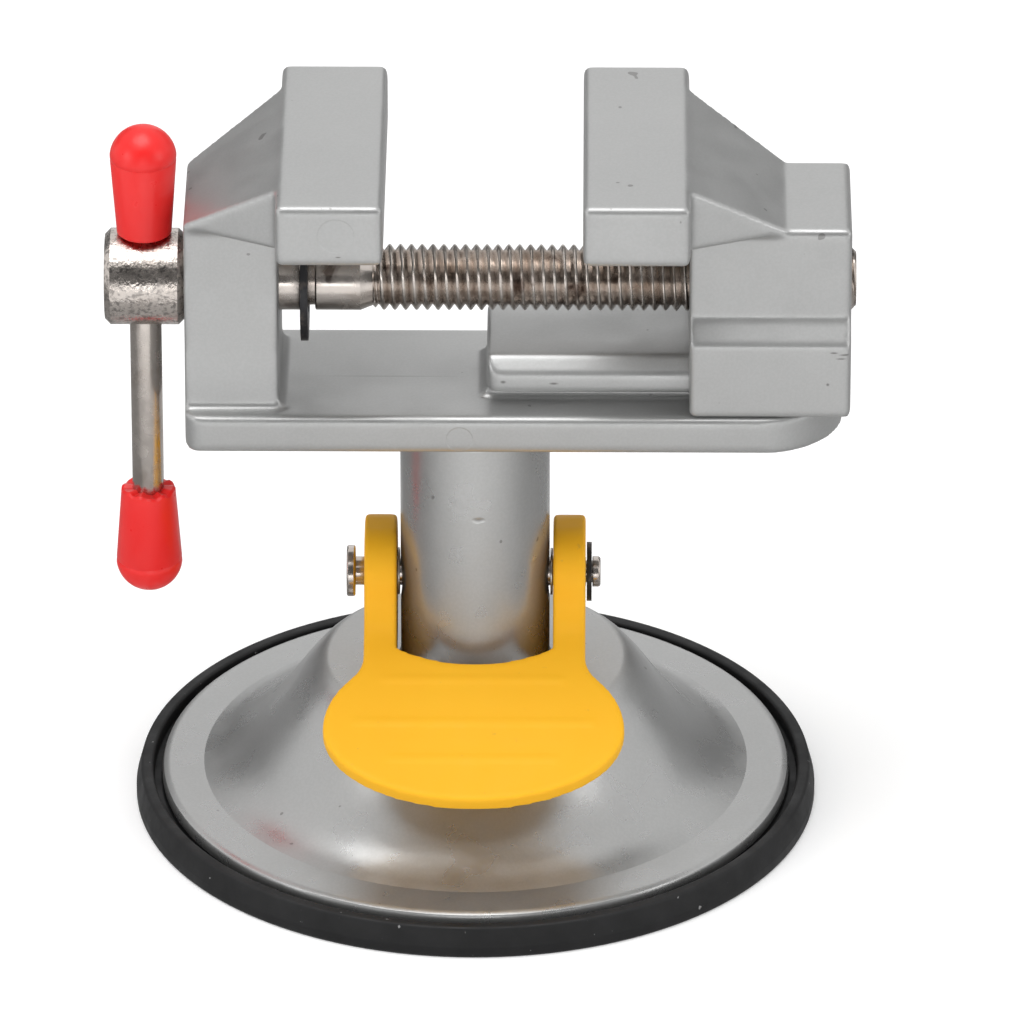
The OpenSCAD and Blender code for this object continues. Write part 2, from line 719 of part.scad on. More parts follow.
module vise_body() {
    block_low_w = block_w + 2 * block_draft;
    rail_end_round = neck_h;
    color(silver) difference() {
        union() {
            bed();
            intersection() {
                along_x(-bed_left, block_right) polygon(rounded(both_sides([
                    [block_low_w / 2 + bed_fillet, bed_top_z - cast_round, 0],
                    [block_low_w / 2 + bed_fillet, bed_top_z, 0],
                    [block_low_w / 2, bed_top_z, bed_fillet / 2], [block_w / 2, jaw_z, cast_round]])));
                along_y(-bed_w, bed_w) round_plan([-bed_left, bed_z], [block_right, jaw_z], cast_round, cast_round);
            }
            jaw(block_right, grip_x);
            gusset(block_right, -bed_left, block_w);
            foot_fillet(block_right, 1, block_low_w);
            intersection() {
                along_x(rail_left, bed_right) rail_outline(0, cast_round / 2);
                translate([0, 0, bed_top_z - 2 * bite]) linear_extrude(jaw_under)
                    round_plan([rail_left, -flange_w / 2], [bed_right - cast_round, flange_w / 2],
                        rail_end_round, flange_w / 3);
            }
            foot_fillet(rail_left, -1, neck_w);
            difference() {
                translate([0, 0, spigot_bottom_z]) cylinder(h = spigot_l + bite, r = spigot_r);
                difference() {
                    translate([0, 0, set_z - groove_half]) cylinder(h = 2 * groove_half, r = spigot_r + cut);
                    translate([0, 0, set_z - set_d]) cylinder(h = 2 * set_d, r = spigot_r - spigot_groove - fit);
                }
            }
        }
        bar_x(-bed_left - cut, block_right + cut, screw_r + fit, screw_z);
    }
}

module swivel_washer() {
    color(spring_steel) translate([0, 0, column_top_z + fit]) difference() {
        cylinder(h = swivel_washer_t, r = column_r - column_round);
        translate([0, 0, -cut]) cylinder(h = swivel_washer_t + 2 * cut, r = spigot_r + fit);
    }
}

module moving_jaw() {
    skirt_top_z = bed_top_z + skirt_h;
    block_base_z = skirt_top_z + step_h;
    color(silver) difference() {
        union() {
            intersection() {
                along_x(moving_back_x, moving_end_x) polygon(rounded(both_sides([
                    [skirt_w / 2, bed_top_z + slide_gap, cast_round / 2], [skirt_w / 2, skirt_top_z, cast_round],
                    [moving_w / 2, block_base_z, cast_round], [moving_w / 2, jaw_z, cast_round]])));
                along_y(-skirt_w, skirt_w)
                    round_plan([moving_back_x, bed_top_z], [moving_end_x, jaw_z], cast_round, cast_round);
                translate([0, 0, bed_top_z]) linear_extrude(jaw_under)
                    round_plan([moving_back_x, -skirt_w / 2], [moving_end_x, skirt_w / 2], cast_round, cast_round);
            }
            jaw(moving_grip_x, moving_back_x);
            gusset(moving_back_x, moving_back_x + moving_gusset_l, moving_w);
        }
        along_x(moving_back_x - cut, moving_end_x + cut) rail_outline(slide_gap, 0);
        bar_x(moving_back_x - cut, moving_end_x + cut, screw_r + fit, screw_z);
    }
}

// Screw and handle

module lead_screw() {
    thread_x = block_right + shank_l;
    clip_left = block_right + clip_x;
    color(plated) difference() {
        union() {
            bar_x(head_right - tenon_l, head_right + bite, tenon_r, screw_z);
            bar_x(head_right, screw_right - shank_chamfer, screw_r, screw_z);
            translate([screw_right - shank_chamfer, 0, screw_z]) rotate([0, 90, 0])
                cylinder(h = shank_chamfer, r1 = screw_r, r2 = root_d / 2);
        }
        // Groove for the clip
        difference() {
            bar_x(clip_left, clip_left + clip_t + 2 * fit, screw_r + cut, screw_z);
            bar_x(clip_left - cut, clip_left + clip_t + cut, clip_groove_d / 2, screw_z);
        }
        // Neck where the plain shank ends and the thread starts
        difference() {
            bar_x(thread_x - shank_chamfer, thread_x, screw_r + cut, screw_z);
            translate([thread_x - shank_chamfer, 0, screw_z]) rotate([0, 90, 0])
                cylinder(h = shank_chamfer, r1 = screw_r, r2 = root_d / 2);
        }
    }
}

module screw_head() {
    r = head_d / 2;
    color(plated) difference() {
        translate([head_left, 0, screw_z]) rotate([0, 90, 0]) {
            cylinder(h = head_chamfer, r1 = r - head_chamfer, r2 = r);
            translate([0, 0, head_chamfer]) cylinder(h = head_l - 2 * head_chamfer, r = r);
            translate([0, 0, head_l - head_chamfer]) cylinder(h = head_chamfer, r1 = r, r2 = r - head_chamfer);
        }
        translate([head_mid, 0, screw_z - head_d]) cylinder(h = 2 * head_d, r = bar_r + fit);
        bar_x(head_right - tenon_l, head_right + cut, tenon_r, screw_z);
    }
}

module screw_clip() {
    color(spring_steel) translate([block_right + clip_x + fit, 0, screw_z]) rotate([0, 90, 0])
        rotate(90) e_ring(clip_d / 2, clip_groove_d / 2, clip_t);
}

module handle_bar() {
    low_z = handle_bottom_z + cap_l - cap_bore_l;
    high_z = handle_top_z - cap_l + cap_bore_l;
    color(plated) translate([head_mid, 0, low_z]) cylinder(h = high_z - low_z, r = bar_r);
}

// Plastic cap with its mouth at z = 0 and its round end up
module handle_cap() {
    shoulder_z = cap_l - cap_r;
    color(cap_red) difference() {
        rotate_extrude() polygon(concat(
            [[0, 0], [cap_mouth_d / 2, 0]],
            [for (i = [0 : curve_steps]) let(a = 90 * i / curve_steps)
                [cap_r * cos(a), shoulder_z + cap_r * sin(a)]]));
        translate([0, 0, -cut]) cylinder(h = cap_bore_l + cut, r = bar_r);
    }
}

module handle_cap_upper() {
    translate([head_mid, 0, handle_top_z - cap_l]) handle_cap();
}

module handle_cap_lower() {
    translate([head_mid, 0, handle_bottom_z + cap_l]) mirror([0, 0, 1]) handle_cap();
}

base_cover();
suction_pad();
pad_skin();
pad_centre();
pad_insert();
pull_rod();
spring_seat();
return_spring();
lever_pin();
pin_clip();
pin_washer_left();
pin_washer_right();
lever();
set_screw();
vise_body();
swivel_washer();
moving_jaw();
lead_screw();
screw_head();
screw_clip();
handle_bar();
handle_cap_upper();
handle_cap_lower();
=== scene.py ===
"""Small bench vise on a lever-operated suction base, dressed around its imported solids."""
import math

import bmesh
import bpy
import numpy as np
from mathutils import Matrix, Vector
from mathutils.bvhtree import BVHTree


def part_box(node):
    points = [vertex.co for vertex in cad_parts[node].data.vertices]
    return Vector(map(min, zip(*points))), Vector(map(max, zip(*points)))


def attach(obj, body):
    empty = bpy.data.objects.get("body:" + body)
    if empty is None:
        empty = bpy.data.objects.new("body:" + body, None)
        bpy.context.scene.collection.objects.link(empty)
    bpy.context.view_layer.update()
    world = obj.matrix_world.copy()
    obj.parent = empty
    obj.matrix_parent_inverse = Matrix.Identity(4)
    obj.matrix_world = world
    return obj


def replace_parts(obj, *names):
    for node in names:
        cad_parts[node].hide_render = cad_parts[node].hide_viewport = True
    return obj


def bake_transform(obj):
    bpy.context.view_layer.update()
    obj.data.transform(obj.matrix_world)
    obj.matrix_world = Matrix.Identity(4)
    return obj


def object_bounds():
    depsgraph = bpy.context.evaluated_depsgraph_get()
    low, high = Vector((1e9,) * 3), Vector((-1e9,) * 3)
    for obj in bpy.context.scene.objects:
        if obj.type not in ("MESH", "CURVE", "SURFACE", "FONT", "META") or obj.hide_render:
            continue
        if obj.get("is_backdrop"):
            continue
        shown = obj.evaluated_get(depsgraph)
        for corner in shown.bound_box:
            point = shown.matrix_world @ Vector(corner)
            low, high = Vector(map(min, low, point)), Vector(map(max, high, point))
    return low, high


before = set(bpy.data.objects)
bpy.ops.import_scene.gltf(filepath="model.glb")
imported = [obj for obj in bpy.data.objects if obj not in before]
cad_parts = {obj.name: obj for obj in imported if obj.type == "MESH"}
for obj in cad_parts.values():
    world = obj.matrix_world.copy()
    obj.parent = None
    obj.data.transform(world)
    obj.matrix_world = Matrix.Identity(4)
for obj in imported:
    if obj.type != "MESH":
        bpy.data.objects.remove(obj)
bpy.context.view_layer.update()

# The base cover is a zinc die casting with the column in one piece, sprayed with a glossy silver
# paint. The paint has a fine orange peel, a few dust grains, and darker worn places.
MM = 0.001
BRIM_W = 5.9 * MM
PEEL_DEPTH = 0.014 * MM
DENT_DEPTH = 0.08 * MM
RING_HEIGHT = 0.03 * MM


def new_finish(name, color, roughness, metallic=0.0):
    """A material with one shader: returns the material, its tree and the shader."""
    material = bpy.data.materials.new(name)
    material.use_nodes = True
    shader = material.node_tree.nodes["Principled BSDF"]
    shader.inputs["Base Color"].default_value = (*color, 1)
    shader.inputs["Roughness"].default_value = roughness
    shader.inputs["Metallic"].default_value = metallic
    return material, material.node_tree, shader


def grain(tree, scale, detail=3.0, stretch=(1, 1, 1), warp=0.0):
    """Noise at scale cells a metre, in the piece's own metres."""
    place = tree.nodes.new("ShaderNodeTexCoord")
    stretched = tree.nodes.new("ShaderNodeMapping")
    stretched.inputs["Scale"].default_value = stretch
    noise = tree.nodes.new("ShaderNodeTexNoise")
    noise.inputs["Scale"].default_value = scale
    noise.inputs["Detail"].default_value = detail
    noise.inputs["Distortion"].default_value = warp
    tree.links.new(place.outputs["Object"], stretched.inputs["Vector"])
    tree.links.new(stretched.outputs["Vector"], noise.inputs["Vector"])
    return noise.outputs["Fac"]


def spread(tree, value, low, high, to_low, to_high):
    """The value's span from low to high, spread over to_low to to_high and held there."""
    span = tree.nodes.new("ShaderNodeMapRange")
    span.inputs["From Min"].default_value = low
    span.inputs["From Max"].default_value = high
    span.inputs["To Min"].default_value = to_low
    span.inputs["To Max"].default_value = to_high
    tree.links.new(value, span.inputs["Value"])
    return span.outputs["Result"]


def stain(tree, base, color, amount):
    """Lays color over base (a socket or a colour) by amount."""
    mix = tree.nodes.new("ShaderNodeMix")
    mix.data_type = "RGBA"
    if isinstance(base, tuple):
        mix.inputs["A"].default_value = (*base, 1)
    else:
        tree.links.new(base, mix.inputs["A"])
    mix.inputs["B"].default_value = (*color, 1)
    tree.links.new(amount, mix.inputs["Factor"])
    return mix.outputs["Result"]


def relief(tree, height, depth, under=None):
    """Bump of that depth in metres, on top of another bump where one is given."""
    bump = tree.nodes.new("ShaderNodeBump")
    bump.inputs["Distance"].default_value = depth
    tree.links.new(height, bump.inputs["Height"])
    if under is not None:
        tree.links.new(under, bump.inputs["Normal"])
    return bump.outputs["Normal"]


def reach(tree, centre, size):
    """Distance from a place in millimetres, counted in sizes along X, Y and Z."""
    place = tree.nodes.new("ShaderNodeTexCoord")
    shift = tree.nodes.new("ShaderNodeMapping")
    shift.vector_type = "POINT"
    shift.inputs["Location"].default_value = [-c / s for c, s in zip(centre, size)]
    shift.inputs["Scale"].default_value = [1 / (s * MM) for s in size]
    length = tree.nodes.new("ShaderNodeVectorMath")
    length.operation = "LENGTH"
    tree.links.new(place.outputs["Object"], shift.inputs["Vector"])
    tree.links.new(shift.outputs["Vector"], length.inputs[0])
    return length.outputs["Value"]


def silver_paint(name, gloss, scratches=(), dents=(), rings=()):
    """The paint, with dark scratches, dents that are pressed in and darkened with painted shade in their hollows,
    and raised rings at their places in millimetres.
    """
    color = (0.415, 0.417, 0.413)
    material, tree, shader = new_finish(name, color, 0.3, 0.55 + 0.35 * gloss)
    cloudy = spread(tree, grain(tree, 60, 4), 0.35, 0.7, 0, 0.35)
    shade = stain(tree, color, (0.37, 0.372, 0.37), cloudy)
    flakes = spread(tree, grain(tree, 2600, 2), 0.42, 0.6, 0, 0.18)
    shade = stain(tree, shade, (0.5, 0.502, 0.5), flakes)
    specks = spread(tree, grain(tree, 430, 1), 0.775, 0.79, 0, 0.6)
    shade = stain(tree, shade, (0.14, 0.135, 0.13), specks)
    paint = relief(tree, grain(tree, 800, 2), PEEL_DEPTH)
    for centre, size in scratches:
        mark = spread(tree, reach(tree, centre, size), 0.3, 1, 0.75, 0)
        shade = stain(tree, shade, (0.11, 0.105, 0.1), mark)
    for centre, size in dents:
        # Each dent is pressed in by a bump, and its hollow is darkened with painted shade
        dent_depth_and_shade = spread(tree, reach(tree, centre, size), 0.2, 1, 1, 0)
        shade = stain(tree, shade, (0.2, 0.2, 0.2), spread(tree, dent_depth_and_shade, 0.4, 1, 0, 0.5))
        paint = relief(tree, spread(tree, dent_depth_and_shade, 0, 1, 1, 0), DENT_DEPTH, paint)
    for centre, size in rings:
        inside = spread(tree, reach(tree, centre, size), 0.94, 1, 0, 1)
        paint = relief(tree, inside, RING_HEIGHT, paint)
    tree.links.new(shade, shader.inputs["Base Color"])
    rough = 0.44 - 0.24 * gloss
    worn = spread(tree, grain(tree, 160, 4), 0.3, 0.7, rough - 0.05, rough + 0.05)
    tree.links.new(worn, shader.inputs["Roughness"])
    tree.links.new(paint, shader.inputs["Normal"])
    return material


def finished(name, mesh, material, body, smooth_deg=32):
    """Puts a finished mesh in the scene on its body, in its finish."""
    piece = bpy.data.objects.new(name, mesh)
    bpy.context.scene.collection.objects.link(piece)
    mesh.materials.clear()
    mesh.materials.append(material)
    mesh.shade_smooth()
    mesh.set_sharp_from_angle(angle=math.radians(smooth_deg))
    if body:
        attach(piece, body)
    return piece


def evaluated(piece):
    """The plain mesh that the piece's modifiers give, with the piece itself taken away."""
    graph = bpy.context.evaluated_depsgraph_get()
    mesh = bpy.data.meshes.new_from_object(piece.evaluated_get(graph))
    bpy.data.objects.remove(piece)
    return mesh


def clean_copy(node, flat_deg=0.4):
    """The node's mesh with its loose triangles joined and its flat faces made whole."""
    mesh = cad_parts[node].data.copy()
    shape = bmesh.new()
    shape.from_mesh(mesh)
    bmesh.ops.remove_doubles(shape, verts=shape.verts, dist=0.0005 * MM)
    bmesh.ops.dissolve_limit(shape, angle_limit=math.radians(flat_deg), verts=shape.verts, edges=shape.edges)
    shape.to_mesh(mesh)
    shape.free()
    return mesh


def broken_edges(node, edge, limit_deg=26, segments=3, flat_deg=0.4):
    """The node's shape with its sharp edges rounded by edge, as turning and plating leave them."""
    piece = bpy.data.objects.new(node + "_edges", clean_copy(node, flat_deg))
    bpy.context.scene.collection.objects.link(piece)
    rounding = piece.modifiers.new("rounding", "BEVEL")
    rounding.width = edge
    rounding.segments = segments
    rounding.limit_method = "ANGLE"
    rounding.angle_limit = math.radians(limit_deg)
    rounding.use_clamp_overlap = True
    rounding.miter_outer = "MITER_ARC"
    return evaluated(piece)


def held_flat(mesh, low_r, high_r, top, border):
    """Rows of faces along both edges of the flat rim, so that the crease at the dome's foot stays crisp."""
    shape = bmesh.new()
    shape.from_mesh(mesh)
    rim = [face for face in shape.faces if face.normal.z > 0.99 and face.calc_center_median().z < top
           and low_r < face.calc_center_median().xy.length < high_r]
    bmesh.ops.inset_region(shape, faces=rim, thickness=border, use_even_offset=True, use_boundary=True)
    shape.to_mesh(mesh)
    shape.free()
    return mesh


def crease(mesh, radius, top):
    """Marks the edges at that radius below top as sharp."""
    for edge in mesh.edges:
        ends = [mesh.vertices[i].co for i in edge.vertices]
        if all(abs(end.xy.length - radius) < 0.05 * MM and end.z < top for end in ends):
            edge.use_edge_sharp = True


rim_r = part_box("base_cover")[1].x
foot_r = rim_r - BRIM_W
brim_top = 6.5 * MM
rim_flat_r = rim_r - 0.6 * MM
row_w = 0.35 * MM
cover_shape = held_flat(broken_edges("base_cover", 0.2 * MM, flat_deg=0.02), foot_r, rim_flat_r, brim_top, row_w)
# The column's front has a dent, pressed in and darkened in its hollow with painted shade
base_paint = silver_paint("silver paint, base", gloss=0.62, dents=[((0.6, -10.4, 48.5), (1.0, 1.2, 0.5))],
                          scratches=[((9.6, -35.2, 7.3), (0.5, 0.5, 0.3))])
cover = finished("silver_base_cover", cover_shape, base_paint, "base", smooth_deg=34)
crease(cover.data, foot_r, brim_top)
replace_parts(cover, "base_cover")

# The suction pad is moulded black rubber: a ring with a lip that grips the metal rim, a thin skin
# and a thick centre. The ring lies on the table, and the lever lifts the centre.
PAD_STEPS = 160


def moulded_rubber(name):
    color = (0.009, 0.009, 0.0095)
    material, tree, shader = new_finish(name, color, 0.58)
    shader.inputs["Specular IOR Level"].default_value = 0.3
    dusty = spread(tree, grain(tree, 130, 5), 0.45, 0.75, 0, 0.5)
    shade = stain(tree, color, (0.022, 0.022, 0.023), dusty)
    lint = spread(tree, grain(tree, 900, 2), 0.73, 0.77, 0, 0.8)
    shade = stain(tree, shade, (0.3, 0.3, 0.3), lint)
    tree.links.new(shade, shader.inputs["Base Color"])
    tree.links.new(spread(tree, grain(tree, 240, 3), 0.3, 0.7, 0.48, 0.68), shader.inputs["Roughness"])
    tree.links.new(relief(tree, grain(tree, 1400, 3), 0.02 * MM), shader.inputs["Normal"])
    return material


def spun(profile, steps, closed=True):
    """A mesh spun about Z from a profile of radius and height, with its poles closed."""
    mesh = bpy.data.meshes.new("spun")
    shape = bmesh.new()
    points = [shape.verts.new((r, 0, z)) for r, z in profile]
    ends = zip(points, points[1:] + points[:1]) if closed else zip(points, points[1:])
    edges = [shape.edges.new(pair) for pair in ends]
    bmesh.ops.spin(shape, geom=points + edges, cent=(0, 0, 0), axis=(0, 0, 1), angle=2 * math.pi, steps=steps,
                   use_merge=False)
    bmesh.ops.remove_doubles(shape, verts=shape.verts, dist=0.001 * MM)
    bmesh.ops.recalc_face_normals(shape, faces=shape.faces)
    shape.to_mesh(mesh)
    shape.free()
    return mesh


def rounded(corners, steps=5):
    """Points of an outline whose corners (x, y, radius) are rounded."""
    points = []
    for i, (x, y, radius) in enumerate(corners):
        here = Vector((x, y))
        before = Vector(corners[i - 1][:2])
        after = Vector(corners[(i + 1) % len(corners)][:2])
        if radius == 0:
            points.append((x, y))
            continue
        a = (before - here).normalized()
        b = (after - here).normalized()
        half = a.angle(b) / 2
        tangent = radius / math.tan(half)
        centre = here + (a + b).normalized() * radius / math.sin(half)
        start = here + a * tangent - centre
        turn = start.angle_signed(here + b * tangent - centre)
        for k in range(steps + 1):
            # Vector angles count clockwise
            spoke = start.copy()
            spoke.rotate(Matrix.Rotation(-turn * k / steps, 2))
            points.append(tuple(centre + spoke))
    return points


pad_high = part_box("suction_pad")[1]
skin_low, skin_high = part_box("pad_skin")
pad_r = pad_high.x
pad_top = pad_high.z
seal_r = skin_high.x
rim_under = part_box("base_cover")[0].z
lip_out = pad_r - 0.75 * MM
lip_in = lip_out - 1.7 * MM
gutter = rim_under - 0.65 * MM
black_rubber = moulded_rubber("black rubber")
pad = finished("rubber_pad_ring", spun(rounded([
    (seal_r, 0, 0.2 * MM), (pad_r, 0, 0.35 * MM), (pad_r, 1.6 * MM, 0.5 * MM), (lip_out, pad_top, 0.55 * MM),
    (lip_in, pad_top, 0.5 * MM), (lip_in, gutter, 0.3 * MM), (rim_r + 0.1 * MM, gutter, 0.2 * MM),
    (rim_r, rim_under, 0), (seal_r, rim_under, 0)]), PAD_STEPS), black_rubber, "base")
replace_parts(pad, "suction_pad")

centre_low, centre_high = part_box("pad_centre")
pad_centre = finished("rubber_pad_centre", spun(rounded([
    (0, centre_low.z, 0), (centre_high.x, centre_low.z, 0.5 * MM), (centre_high.x, centre_high.z, 0.5 * MM),
    (0, centre_high.z, 0)]), PAD_STEPS), black_rubber, "rod")
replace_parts(pad_centre, "pad_centre")

skin_t = 2.2 * MM
skin_rows = 12
skin_rise = skin_high.z - skin_t - skin_low.z


def skin_line(lift):
    """Rows of the skin from the ring to the centre, as a smooth S."""
    rows = [i / skin_rows for i in range(skin_rows + 1)]
    return [(seal_r + (centre_high.x - seal_r) * t, skin_low.z + lift + skin_rise * t * t * (3 - 2 * t))
            for t in rows]


pad_skin = finished("rubber_pad_skin", spun(skin_line(0) + skin_line(skin_t)[::-1], PAD_STEPS), black_rubber,
                    None)
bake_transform(pad_skin)
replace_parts(pad_skin, "pad_skin")

# Inside the dome a zinc-plated rod pulls on a steel plate in the pad. A coil spring of round wire
# pushes them down again when the lever lets go.


def zinc_steel(name):
    color = (0.56, 0.56, 0.55)
    material, tree, shader = new_finish(name, color, 0.34, 1.0)
    dull = spread(tree, grain(tree, 260, 4), 0.4, 0.7, 0, 0.6)
    tree.links.new(stain(tree, color, (0.4, 0.39, 0.36), dull), shader.inputs["Base Color"])
    tree.links.new(spread(tree, grain(tree, 700, 3), 0.3, 0.7, 0.25, 0.45), shader.inputs["Roughness"])
    tree.links.new(relief(tree, grain(tree, 2200, 2), 0.006 * MM), shader.inputs["Normal"])
    return material


zinc = zinc_steel("zinc plate")
for node in ("pull_rod", "pad_insert", "spring_seat", "pin_washer_left", "pin_washer_right"):
    steel = finished("zinc_" + node, broken_edges(node, 0.1 * MM, segments=2), zinc, "rod")
    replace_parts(steel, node)

WIRE_R = 0.7 * MM
COIL_TURNS = 5


def coil_tree(name):
    """Geometry nodes that wind a round wire into a spring."""
    tree = bpy.data.node_groups.new(name, "GeometryNodeTree")
    for label, kind in (("Turns", "NodeSocketFloat"), ("Coil Radius", "NodeSocketFloat"),
                        ("Height", "NodeSocketFloat"), ("Wire Radius", "NodeSocketFloat"),
                        ("Start", "NodeSocketVector"), ("Finish", "NodeSocketMaterial")):
        tree.interface.new_socket(label, in_out="INPUT", socket_type=kind)
    tree.interface.new_socket("Spring", in_out="OUTPUT", socket_type="NodeSocketGeometry")
    given = tree.nodes.new("NodeGroupInput")
    result = tree.nodes.new("NodeGroupOutput")
    spiral = tree.nodes.new("GeometryNodeCurveSpiral")
    spiral.inputs["Resolution"].default_value = 40
    ring = tree.nodes.new("GeometryNodeCurvePrimitiveCircle")
    ring.inputs["Resolution"].default_value = 14
    wire = tree.nodes.new("GeometryNodeCurveToMesh")
    wire.inputs["Fill Caps"].default_value = True
    place = tree.nodes.new("GeometryNodeTransform")
    real = tree.nodes.new("GeometryNodeRealizeInstances")
    coat = tree.nodes.new("GeometryNodeSetMaterial")
    link = tree.links.new
    link(given.outputs["Turns"], spiral.inputs["Rotations"])
    link(given.outputs["Coil Radius"], spiral.inputs["Start Radius"])
    link(given.outputs["Coil Radius"], spiral.inputs["End Radius"])
    link(given.outputs["Height"], spiral.inputs["Height"])
    link(given.outputs["Wire Radius"], ring.inputs["Radius"])
    link(spiral.outputs["Curve"], wire.inputs["Curve"])
    link(ring.outputs["Curve"], wire.inputs["Profile Curve"])
    link(wire.outputs["Mesh"], place.inputs["Geometry"])
    link(given.outputs["Start"], place.inputs["Translation"])
    link(place.outputs["Geometry"], real.inputs["Geometry"])
    link(real.outputs["Geometry"], coat.inputs["Geometry"])
    link(given.outputs["Finish"], coat.inputs["Material"])
    link(coat.outputs["Geometry"], result.inputs["Spring"])
    return tree


def grown(tree, values):
    """The plain mesh that a geometry node tree makes from its named inputs."""
    seed = bpy.data.objects.new(tree.name + "_seed", bpy.data.meshes.new("seed"))
    bpy.context.scene.collection.objects.link(seed)
    nodes = seed.modifiers.new("shape", "NODES")
    nodes.node_group = tree
    for item in tree.interface.items_tree:
        if item.in_out == "INPUT" and item.name in values:
            nodes[item.identifier] = values[item.name]
    return evaluated(seed)


spring_low, spring_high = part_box("return_spring")
spring = finished("wire_return_spring", grown(coil_tree("wound spring"), {
    "Turns": float(COIL_TURNS),
    "Coil Radius": spring_high.x - WIRE_R,
    "Height": spring_high.z - spring_low.z - 2 * WIRE_R,
    "Wire Radius": WIRE_R,
    "Start": (0, 0, spring_low.z + WIRE_R),
    "Finish": zinc,
}), zinc, None)
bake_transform(spring)
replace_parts(spring, "return_spring")

# The lever turns on a nickel-plated pin. Its head is turned with a thin collar, and a black snap
# ring sits in a groove at the other end.
PIN_STEPS = 48


def nickel_plate(name, soiled=0.25, hammered=0.0, thread=None):
    """Nickel plate, soiled brown, hammered to that depth, and dark inside a thread of (axis, root, crest)."""
    color = (0.58, 0.53, 0.49)
    material, tree, shader = new_finish(name, color, 0.2, 1.0)
    soil = spread(tree, grain(tree, 190, 5, warp=0.6), 0.5, 0.72, 0, soiled)
    shade = stain(tree, color, (0.22, 0.15, 0.1), soil)
    if thread:
        axis, root, crest = (size / MM for size in thread)
        deep = spread(tree, reach(tree, (0, 0, axis), (1000, 1, 1)), root, root + 0.5 * (crest - root), 0.42, 0)
        shade = stain(tree, shade, (0.34, 0.27, 0.225), deep)
        grease = spread(tree, grain(tree, 260, 4, warp=0.4), 0.6, 0.7, 0, 0.75)
        shade = stain(tree, shade, (0.09, 0.055, 0.04), grease)
    tree.links.new(shade, shader.inputs["Base Color"])
    tree.links.new(spread(tree, grain(tree, 420, 4), 0.3, 0.72, 0.13, 0.34), shader.inputs["Roughness"])
    skin = relief(tree, grain(tree, 1100, 2), 0.008 * MM)
    if hammered:
        pits = spread(tree, grain(tree, 1700, 2), 0.5, 0.64, 0, 0.6)
        tree.links.new(stain(tree, shade, (0.13, 0.12, 0.115), pits), shader.inputs["Base Color"])
        skin = relief(tree, grain(tree, 2600, 2), hammered, skin)
    tree.links.new(skin, shader.inputs["Normal"])
    return material


def black_spring_steel(name):
    color = (0.03, 0.03, 0.032)
    material, tree, shader = new_finish(name, color, 0.38, 0.65)
    worn = spread(tree, grain(tree, 600, 4), 0.55, 0.72, 0, 0.5)
    tree.links.new(stain(tree, color, (0.16, 0.13, 0.11), worn), shader.inputs["Base Color"])
    tree.links.new(spread(tree, grain(tree, 900, 3), 0.3, 0.7, 0.3, 0.55), shader.inputs["Roughness"])
    tree.links.new(relief(tree, grain(tree, 1800, 2), 0.008 * MM), shader.inputs["Normal"])
    return material


def along_x(mesh, height):
    """Lays a mesh spun about Z along X, at that height."""
    mesh.transform(Matrix.Translation((0, 0, height)) @ Matrix.Rotation(math.pi / 2, 4, "Y"))
    return mesh


nickel = nickel_plate("nickel plate", 0.35)
pin_low, pin_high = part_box("lever_pin")
clip_low, clip_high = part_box("pin_clip")
pin_axis = (pin_low.z + pin_high.z) / 2
pin_head_r = (pin_high.z - pin_low.z) / 2
pin_r = 2 * MM
pin_groove_r = pin_r * 0.78
pin_head_t = 1.2 * MM
pin_tail_r = pin_r + 0.15 * MM
pin_gap = 0.1 * MM
pin = finished("nickel_lever_pin", along_x(spun(rounded([
    (0, pin_low.x, 0), (pin_head_r, pin_low.x, 0.3 * MM), (pin_head_r, pin_low.x + pin_head_t, 0.3 * MM),
    (pin_r, pin_low.x + pin_head_t, 0.1 * MM), (pin_r, clip_low.x - pin_gap, 0),
    (pin_groove_r, clip_low.x - pin_gap, 0), (pin_groove_r, clip_high.x + pin_gap, 0),
    (pin_tail_r, clip_high.x + pin_gap, 0.1 * MM), (pin_tail_r, pin_high.x, 0.45 * MM), (0, pin_high.x, 0)]),
    PIN_STEPS), pin_axis), nickel, "rod")
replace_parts(pin, "lever_pin")

black_steel = black_spring_steel("black spring steel")
for node, body in (("pin_clip", "rod"), ("screw_clip", "screw"), ("swivel_washer", "head"), ("set_screw", "base")):
    hard = finished("black_" + node, broken_edges(node, 0.08 * MM, segments=2), black_steel, body)
    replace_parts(hard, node)

# The suction lever is moulded in one piece of yellow nylon, with soft edges all round, two arms with
# cams at their ends, and three faint finger ridges across the paddle.
LEVER_VOXEL = 0.27 * MM
LEVER_ROUNDS = 24


def yellow_nylon(name):
    color = (0.93, 0.48, 0.02)
    material, tree, shader = new_finish(name, color, 0.5)
    shader.inputs["Specular IOR Level"].default_value = 0.16
    shader.inputs["Subsurface Weight"].default_value = 0.06
    shader.inputs["Subsurface Radius"].default_value = (0.003, 0.0015, 0.0005)
    shader.inputs["Subsurface Scale"].default_value = 0.4
    flow = spread(tree, grain(tree, 60, 3, stretch=(1, 0.4, 1)), 0.35, 0.7, 0, 0.3)
    shade = stain(tree, color, (0.9, 0.42, 0.014), flow)
    grime = spread(tree, grain(tree, 700, 3), 0.7, 0.78, 0, 0.35)
    shade = stain(tree, shade, (0.6, 0.3, 0.05), grime)
    tree.links.new(shade, shader.inputs["Base Color"])
    tree.links.new(spread(tree, grain(tree, 300, 3), 0.3, 0.7, 0.44, 0.58), shader.inputs["Roughness"])
    tree.links.new(relief(tree, grain(tree, 1300, 2), 0.01 * MM), shader.inputs["Normal"])
    return material


